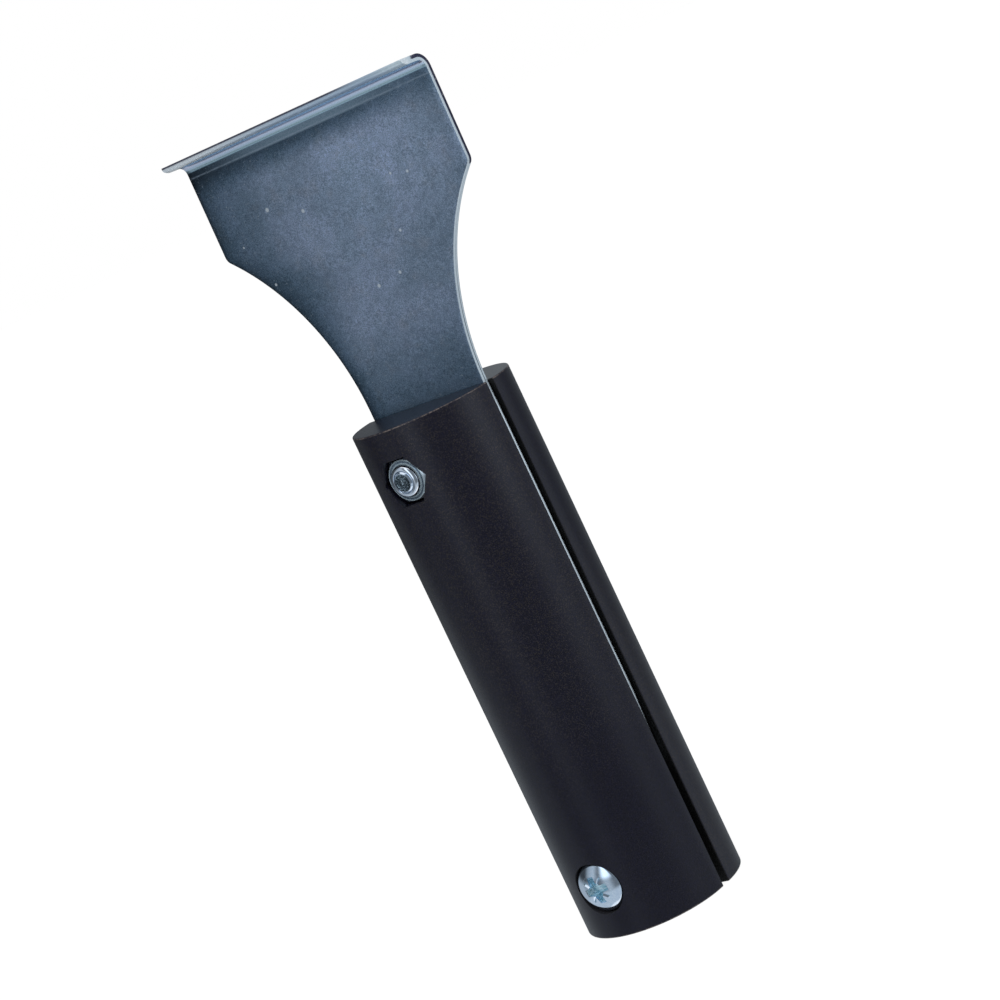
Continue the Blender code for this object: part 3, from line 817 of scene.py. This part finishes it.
def blade_material():
    """Zinc plate: a mottled blue passivate, fine scratches, painted shade, a glossier bent lip with painted
    reflections.
    """
    s = Shader("zinc_plated_sheet")
    x, y, z = s.xyz()
    fine = s.noise(0.2, 2.0, 0.7)
    grain = s.noise(0.6, 3.0, 0.75, seed=1.0)
    mottle = s.noise(2.2, 3.0, 0.6, seed=2.0)
    cloud = s.noise(9.0, 3.0, 0.6, seed=5.0)
    stain = s.noise(4.0, 3.0, 0.6, seed=8.0)
    flat = s.mix(s.span(cloud, 0.38, 0.62), (0.32, 0.42, 0.56), (0.355, 0.44, 0.6))
    flat = s.mix(s.span(mottle, 0.35, 0.7, 0.0, 0.4), flat, (0.29, 0.38, 0.49))
    flat = s.mix(s.span(stain, 0.52, 0.72, 0.0, 0.45), flat, (0.38, 0.42, 0.50))
    flat = s.mix(s.span(fine, 0.4, 0.7, 0.0, 0.25), flat, (0.45, 0.44, 0.56))
    light = s.times(
        s.span(grain, 0.3, 0.7, 0.86, 1.14),
        s.span(fine, 0.32, 0.68, 0.66, 1.38),
        s.span(cloud, 0.35, 0.65, 0.94, 1.06),
        s.span(s.noise(1.3, 3.0, 0.6, seed=6.0), 0.35, 0.65, 0.93, 1.07),
    )
    # The painted shade darkens the sheet, and where it dims the sheet the sheet is also bluer.
    painted_shade = s.attribute("painted_shade")
    flat = s.mix(s.span(painted_shade, 0.2, 0.9), s.mix(1.0, flat, (0.78, 0.98, 1.04), "MULTIPLY"), flat)
    flat = s.mix(1.0, flat, s.times(light, painted_shade), "MULTIPLY")
    scratch = s.noise(0.5, 2.0, 0.6, stretch=(0.35, 1.0, 1.6), seed=4.0)
    flat = s.mix(s.span(scratch, 0.63, 0.71, 0.0, 0.42), flat, (0.4, 0.45, 0.52))
    fleck = s.noise(0.3, 1.0, 0.5, seed=11.0)
    flat = s.mix(s.span(fleck, 0.67, 0.75, 0.0, 0.5), flat, (0.5, 0.56, 0.62))
    speck = 0.0
    for speck_x, speck_z, radius in SPECKS:
        off = s.length(s.math("SUBTRACT", x, speck_x * MM), s.math("SUBTRACT", z, speck_z * MM))
        speck = s.math("MAXIMUM", speck, s.span(off, radius * 0.6 * MM, radius * MM, 0.9, 0.0))
    # Only the front of the leaning sheet has the specks.
    leaned = s.times(s.math("SUBTRACT", z, HANDLE * MM), math.tan(LEAN))
    behind = s.math("SUBTRACT", y, leaned)
    speck = s.times(speck, s.span(behind, -0.3 * MM, 0.2 * MM, 1.0, 0.0))
    flat = s.mix(speck, flat, (0.75, 0.8, 0.85))

    # Below the bend: a strip along its root, and a pressed line in it.
    lip = s.attribute("lip")
    strip = s.times(s.span(lip, -1.5, -1.1), s.span(s.math("ABSOLUTE", x), 0.006, 0.029, 0.85, 0.05))
    flat = s.mix(strip, flat, s.mix(s.span(fine, 0.3, 0.7), (0.2, 0.3, 0.38), (0.38, 0.47, 0.57)))
    press = s.times(
        s.span(lip, -1.25, -1.05),
        s.span(lip, -1.0, -0.8, 1.0, 0.0),
        s.span(scratch, 0.3, 0.6, 0.1, 0.5),
    )
    flat = s.mix(press, flat, (0.42, 0.5, 0.6))
    # The lip's painted reflections: a bend brighter than the flat sheet, and a rounded nose palest at its two
    # ends.
    bend = s.ramp(s.math("DIVIDE", lip, 2.4), (
        (0.0, (0.45, 0.7, 0.88)), (0.18, (0.68, 0.9, 1.0)), (0.34, (0.66, 0.8, 0.98)),
        (0.5, (0.66, 0.7, 0.85)), (0.62, (0.72, 0.76, 0.95)), (0.8, (0.58, 0.72, 0.95)),
        (1.0, (0.55, 0.78, 0.95)),
    ))
    nose = s.mix(s.span(x, -0.03, 0.01), (0.94, 0.98, 1.0), (0.5, 0.63, 0.77))
    nose = s.mix(s.span(x, 0.022, 0.03), nose, (0.8, 0.94, 1.0))
    nose = s.mix(s.span(lip, NOSE_FROM + 0.6, NOSE_FROM + 1.4, 0.0, 0.3), nose, (0.36, 0.45, 0.56))
    bend = s.mix(s.span(lip, NOSE_FROM - 0.3, NOSE_FROM + 0.5), bend, nose)
    color = s.mix(s.span(lip, 0.0, 0.3), flat, bend)
    side_wall = s.mix(s.span(fine, 0.3, 0.7), (0.72, 0.8, 0.86), (0.9, 0.96, 1.0))
    # Painted shade: the rim's side wall is darker where it lies in the handle's slot.
    in_slot = s.span(z, (HANDLE - 2) * MM, (HANDLE + 2) * MM, 0.15, 0.0)
    side_wall = s.mix(in_slot, side_wall, (0.4, 0.42, 0.46))
    color = s.mix(s.attribute("edge"), color, side_wall)
    color = s.mix(s.attribute("groove"), color, (0.08, 0.11, 0.14))
    dark = (0.05, 0.05, 0.09)
    broken = s.mix(s.span(grain, 0.55, 0.68, 0.0, 0.5), dark, (0.5, 0.45, 0.5))
    color = s.mix(s.attribute("broken"), color, broken)
    end = TIP_ALONG - ROOT_ALONG
    tip = s.times(s.span(lip, end - 0.1, end - 0.06), s.span(x, 0.012, 0.022, 0.95, 0.0))
    color = s.mix(tip, color, dark)
    rough = s.mix(s.span(lip, 0.0, 0.3), grey(0.42), grey(0.24))
    rough = s.mix(s.span(lip, NOSE_FROM, NOSE_FROM + 0.5), rough, grey(0.36))
    s.bump(s.math("ADD", grain, fine), 0.15, 0.04)
    metal = s.span(lip, NOSE_FROM - 0.4, NOSE_FROM + 0.4, 1.0, 0.65)
    return s.set(Base_Color=color, Metallic=metal, Roughness=rough)


def grip_material():
    """Black moulding: fine leathery grain, bright specks, a dull slot with painted shade and a dull
    counterbore with painted light.
    """
    s = Shader("black_moulding")
    x, y, z = s.xyz()
    inside = s.span(y, -(SLOT + 0.12) * MM, -(SLOT + 0.04) * MM)
    grain = s.noise(0.2, 3.0, 0.7)
    cell = s.noise(0.55, 2.0, 0.5, seed=3.0)
    spark = s.noise(0.17, 0.0, 0.5, seed=7.0)
    patch = s.noise(5.0, 2.0, 0.5, seed=9.0)
    base = s.mix(s.span(grain, 0.3, 0.7), (0.0022, 0.002, 0.01), (0.005, 0.0048, 0.017))
    base = s.mix(s.span(cell, 0.35, 0.65, 0.0, 0.5), base, (0.004, 0.0034, 0.007))
    flake = s.times(
        s.span(spark, 0.53, 0.7), s.span(patch, 0.3, 0.65, 0.4, 1.0), s.span(z, 0.02, 0.065, 0.15, 1.0)
    )
    base = s.mix(flake, base, (0.06, 0.053, 0.054))
    # A pale line round both ends, a fraction of a millimetre in from each end face.
    half = HANDLE / 2
    middle = s.math("ABSOLUTE", s.math("SUBTRACT", z, half * MM))
    rim = s.times(
        s.span(middle, (half - 0.3) * MM, (half - 0.18) * MM),
        s.span(middle, (half - 0.08) * MM, (half - 0.03) * MM, 1.0, 0.0),
        s.span(cell, 0.4, 0.6, 0.1, 0.8),
    )
    base = s.mix(rim, base, (0.16, 0.13, 0.12))
    # Painted light: the counterbore's wall is paler than the grip, which softens its shade.
    away = s.length(x, s.math("SUBTRACT", z, LOWER_Z * MM))
    in_bore = s.span(away, BORE * MM, (BORE + 0.03) * MM, 1.0, 0.0)
    base = s.mix(in_bore, base, (0.014, 0.013, 0.017))
    # Painted shade: the faces in the slot between the halves are near black.
    base = s.mix(inside, base, (0.0005, 0.0005, 0.001))
    rough = s.mix(s.span(grain, 0.3, 0.7), grey(0.27), grey(0.38))
    rough = s.mix(s.math("MAXIMUM", inside, in_bore), rough, grey(0.7))
    s.bump(s.math("ADD", grain, s.times(cell, 0.5)), 0.5, 0.03)
    metal = s.times(flake, 0.9)
    return s.set(Base_Color=base, Roughness=rough, Metallic=metal, Specular_IOR_Level=0.38)


def bright_material():
    """Bright zinc, with a teal passivate in the recess and an etched end."""
    s = Shader("bright_zinc")
    x, y, z = s.xyz()
    away = s.length(x, y)
    grain = s.noise(0.4, 2.0, 0.6)
    base = s.mix(s.span(grain, 0.3, 0.7), (0.64, 0.76, 0.92), (0.76, 0.86, 0.98))
    streak = s.noise(0.45, 2.0, 0.6, stretch=(0.5, 2.0, 1.0), seed=2.0)
    deep = s.times(
        s.span(z, (HEAD_HIGH - 0.75) * MM, (HEAD_HIGH - 0.45) * MM, 1.0, 0.0),
        s.span(away, 2.9 * MM, 3.2 * MM, 1.0, 0.0),
        s.span(z, 1.2 * MM, 1.5 * MM),
    )
    teal = s.mix(s.span(streak, 0.35, 0.65), (0.26, 0.5, 0.62), (0.62, 0.84, 0.95))
    base = s.mix(deep, base, teal)
    end = s.times(
        s.span(z, -SCREW_LENGTH * MM, (0.5 - SCREW_LENGTH) * MM, 1.0, 0.0),
        s.span(away, 1.6 * MM, 1.72 * MM, 1.0, 0.0),
    )
    pits = s.span(s.noise(0.3, 3.0, 0.7, seed=3.0), 0.48, 0.64)
    base = s.mix(end, base, s.mix(pits, (0.04, 0.06, 0.08), (0.5, 0.62, 0.68)))
    metal = s.math("SUBTRACT", 1.0, s.times(deep, 0.45))
    return s.set(Base_Color=base, Metallic=metal, Roughness=0.1)


def nut_material():
    """Bright zinc; painted dark reflection on the hexagon's upper face, painted highlights at its rim and the
    collar's foot.
    """
    s = Shader("bright_zinc_nut")
    x, y, z = s.xyz()
    away = s.length(x, y)
    face_low, face_high = 3.8 * MM, 3.87 * MM
    grain = s.noise(0.35, 3.0, 0.65)
    collar = s.mix(s.span(grain, 0.3, 0.7), (0.7, 0.78, 0.9), (0.85, 0.9, 0.97))
    # Painted dark reflection: the hexagon's upper face is much darker than the zinc elsewhere.
    hexagon = s.mix(s.span(grain, 0.35, 0.65), (0.1, 0.135, 0.18), (0.3, 0.37, 0.45))
    base = s.mix(s.span(z, 3.95 * MM, 4.1 * MM), hexagon, collar)
    # Painted highlights: pale lines at the upper face's rim and at the collar's foot.
    rim = s.span(away, 3.66 * MM, 3.8 * MM)
    foot = s.times(s.span(away, 3.05 * MM, 3.12 * MM), s.span(away, 3.26 * MM, 3.4 * MM, 1.0, 0.0))
    painted_highlight_lines = s.times(s.math("MAXIMUM", rim, foot), s.span(z, face_low, face_high))
    base = s.mix(painted_highlight_lines, base, (0.34, 0.43, 0.48))
    base = s.mix(s.span(z, face_low, face_high, 1.0, 0.0), base, (0.75, 0.84, 0.93))
    metal = s.math("SUBTRACT", 1.0, s.times(painted_highlight_lines, 0.7))
    return s.set(Base_Color=base, Metallic=metal, Roughness=0.07)


def nylon_material():
    s = Shader("white_nylon")
    cloud = s.noise(0.8, 2.0, 0.5)
    base = s.mix(cloud, (0.72, 0.72, 0.68), (0.82, 0.82, 0.8))
    return s.set(Base_Color=base, Roughness=0.45)


def dress(piece, node, material, place=None):
    """Gives a piece its material and its place in the model."""
    if place:
        piece.matrix_world = place
    piece.data.materials.clear()
    piece.data.materials.append(material)
    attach(piece, "root")
    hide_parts(node)


def build():
    make_camera()
    make_world()
    make_floor()
    make_tent()
    make_lamp("key", (-0.1, -0.9, 0.75), 0.6, 3.5)
    make_lamp("side", (0.9, -0.1, 0.6), 0.5, 3.0)

    dress(make_blade(), "blade", blade_material())
    grip = grip_material()
    turned = Matrix.Translation((0, 0, HANDLE * MM)) @ Matrix.Rotation(math.pi, 4, "X")
    dress(make_half("front_half"), "front_grip", grip)
    dress(make_half("rear_half"), "rear_grip", grip, turned)
    bright = bright_material()
    dress(make_screw("front_screw"), "lower_screw", bright, to_front(HEAD_SEAT, LOWER_Z))
    dress(make_screw("rear_screw"), "upper_screw", bright, to_rear(HEAD_SEAT, UPPER_Z))
    zinc = nut_material()
    dress(make_nut("front_nut"), "upper_nut", zinc, to_front(NUT_SEAT, UPPER_Z))
    dress(make_nut("rear_nut"), "lower_nut", zinc, to_rear(NUT_SEAT, LOWER_Z))
    nylon = nylon_material()
    for node in ("upper_nut_insert", "lower_nut_insert"):
        nodes[node].data.materials.clear()
        nodes[node].data.materials.append(nylon)

    scene.view_settings.view_transform = "Standard"


build()
